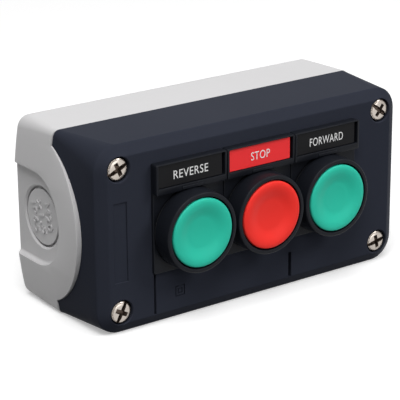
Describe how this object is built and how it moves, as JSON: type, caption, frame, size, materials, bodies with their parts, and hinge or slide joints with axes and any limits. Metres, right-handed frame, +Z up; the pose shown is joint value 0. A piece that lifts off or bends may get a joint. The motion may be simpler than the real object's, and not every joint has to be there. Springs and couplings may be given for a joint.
{
  "type": "pushbutton control station",
  "caption": "Surface-mounted control box with round flush pushbuttons for reverse, stop and forward, legend plates above them and a cable entry at each end.",
  "frame": {"origin": "middle of the flat back of the base, which goes against the wall", "axes": "+X along the box towards the forward button, +Y into the wall (the way a button is pressed), +Z up in the picture, across the box"},
  "size_m": [0.138, 0.064, 0.068],
  "materials": {
    "grey_plastic": "semi-gloss moulded light grey",
    "dark_plastic": "semi-gloss moulded dark grey",
    "black_plastic": "semi-gloss moulded near-black",
    "green_cap": "satin moulded green",
    "red_cap": "satin moulded red",
    "black_legend": "satin black with white letters",
    "red_legend": "satin red with white letters",
    "rubber": "matt black",
    "screw_steel": "nickel-plated",
    "spring_steel": "bright drawn wire",
    "brass": "bright",
    "copper_alloy": "bright with silver tips",
    "blue_plastic": "matt moulded blue-grey",
    "white_plastic": "satin natural white"
  },
  "bodies": {
    "station": {"base_box": "grey_plastic", "cover": "dark_plastic", "cover_seal": "rubber", "cover_screws": "screw_steel", "screw_sealing_rings": "rubber", "reverse_head_bezel": "black_plastic", "reverse_return_spring": "spring_steel", "reverse_lip_seal": "rubber", "reverse_flange_gasket": "rubber", "reverse_legend_holder": "black_plastic", "reverse_legend_plate": "black_legend", "reverse_fixing_nut": "black_plastic", "reverse_contact_housing": "blue_plastic", "reverse_contact_floor": "blue_plastic", "reverse_contact_spring": "spring_steel", "reverse_contact_terminals": "brass", "reverse_terminal_screws": "screw_steel", "stop_head_bezel": "black_plastic", "stop_return_spring": "spring_steel", "stop_lip_seal": "rubber", "stop_flange_gasket": "rubber", "stop_legend_holder": "black_plastic", "stop_legend_plate": "red_legend", "stop_fixing_nut": "black_plastic", "stop_contact_housing": "blue_plastic", "stop_contact_floor": "blue_plastic", "stop_contact_spring": "spring_steel", "stop_contact_terminals": "brass", "stop_terminal_screws": "screw_steel", "forward_head_bezel": "black_plastic", "forward_return_spring": "spring_steel", "forward_lip_seal": "rubber", "forward_flange_gasket": "rubber", "forward_legend_holder": "black_plastic", "forward_legend_plate": "black_legend", "forward_fixing_nut": "black_plastic", "forward_contact_housing": "blue_plastic", "forward_contact_floor": "blue_plastic", "forward_contact_spring": "spring_steel", "forward_contact_terminals": "brass", "forward_terminal_screws": "screw_steel"},
    "reverse_button": {"reverse_button_cap": "green_cap", "reverse_push_sleeve": "white_plastic"},
    "reverse_plunger": {"reverse_contact_plunger": "white_plastic"},
    "reverse_bridge": {"reverse_contact_bridge": "copper_alloy"},
    "stop_button": {"stop_button_cap": "red_cap", "stop_push_sleeve": "white_plastic"},
    "stop_plunger": {"stop_contact_plunger": "white_plastic"},
    "stop_bridge": {"stop_contact_bridge": "copper_alloy"},
    "forward_button": {"forward_button_cap": "green_cap", "forward_push_sleeve": "white_plastic"},
    "forward_plunger": {"forward_contact_plunger": "white_plastic"},
    "forward_bridge": {"forward_contact_bridge": "copper_alloy"}
  },
  "joints": [
    {"name": "reverse_press", "type": "slide", "parent": "station", "child": "reverse_button", "axis": [0, 1, 0], "range_m": [0, 0.0043], "stiffness_N_per_m": 600, "springref_m": -0.002, "deforming": ["reverse_return_spring", "reverse_contact_spring"]},
    {"name": "reverse_plunger_slide", "type": "slide", "parent": "station", "child": "reverse_plunger", "axis": [0, 1, 0], "range_m": [0, 0.0043]},
    {"name": "reverse_bridge_slide", "type": "slide", "parent": "station", "child": "reverse_bridge", "axis": [0, 1, 0], "range_m": [0, 0.0026]},
    {"name": "stop_press", "type": "slide", "parent": "station", "child": "stop_button", "axis": [0, 1, 0], "range_m": [0, 0.0043], "stiffness_N_per_m": 600, "springref_m": -0.002, "deforming": ["stop_return_spring", "stop_contact_spring"]},
    {"name": "stop_plunger_slide", "type": "slide", "parent": "station", "child": "stop_plunger", "axis": [0, 1, 0], "range_m": [0, 0.0043]},
    {"name": "stop_bridge_slide", "type": "slide", "parent": "station", "child": "stop_bridge", "axis": [0, 1, 0], "range_m": [0, 0.0028]},
    {"name": "forward_press", "type": "slide", "parent": "station", "child": "forward_button", "axis": [0, 1, 0], "range_m": [0, 0.0043], "stiffness_N_per_m": 600, "springref_m": -0.002, "deforming": ["forward_return_spring", "forward_contact_spring"]},
    {"name": "forward_plunger_slide", "type": "slide", "parent": "station", "child": "forward_plunger", "axis": [0, 1, 0], "range_m": [0, 0.0043]},
    {"name": "forward_bridge_slide", "type": "slide", "parent": "station", "child": "forward_bridge", "axis": [0, 1, 0], "range_m": [0, 0.0026]}
  ],
  "couplings": [
    {"joint": "reverse_plunger_slide", "follows": "reverse_press", "ratio": 1},
    {"joint": "reverse_bridge_slide", "follows": "reverse_press", "ratio": 0.60465},
    {"joint": "stop_plunger_slide", "follows": "stop_press", "ratio": 1},
    {"joint": "stop_bridge_slide", "follows": "stop_press", "ratio": 0.65116},
    {"joint": "forward_plunger_slide", "follows": "forward_press", "ratio": 1},
    {"joint": "forward_bridge_slide", "follows": "forward_press", "ratio": 0.60465}
  ]
}
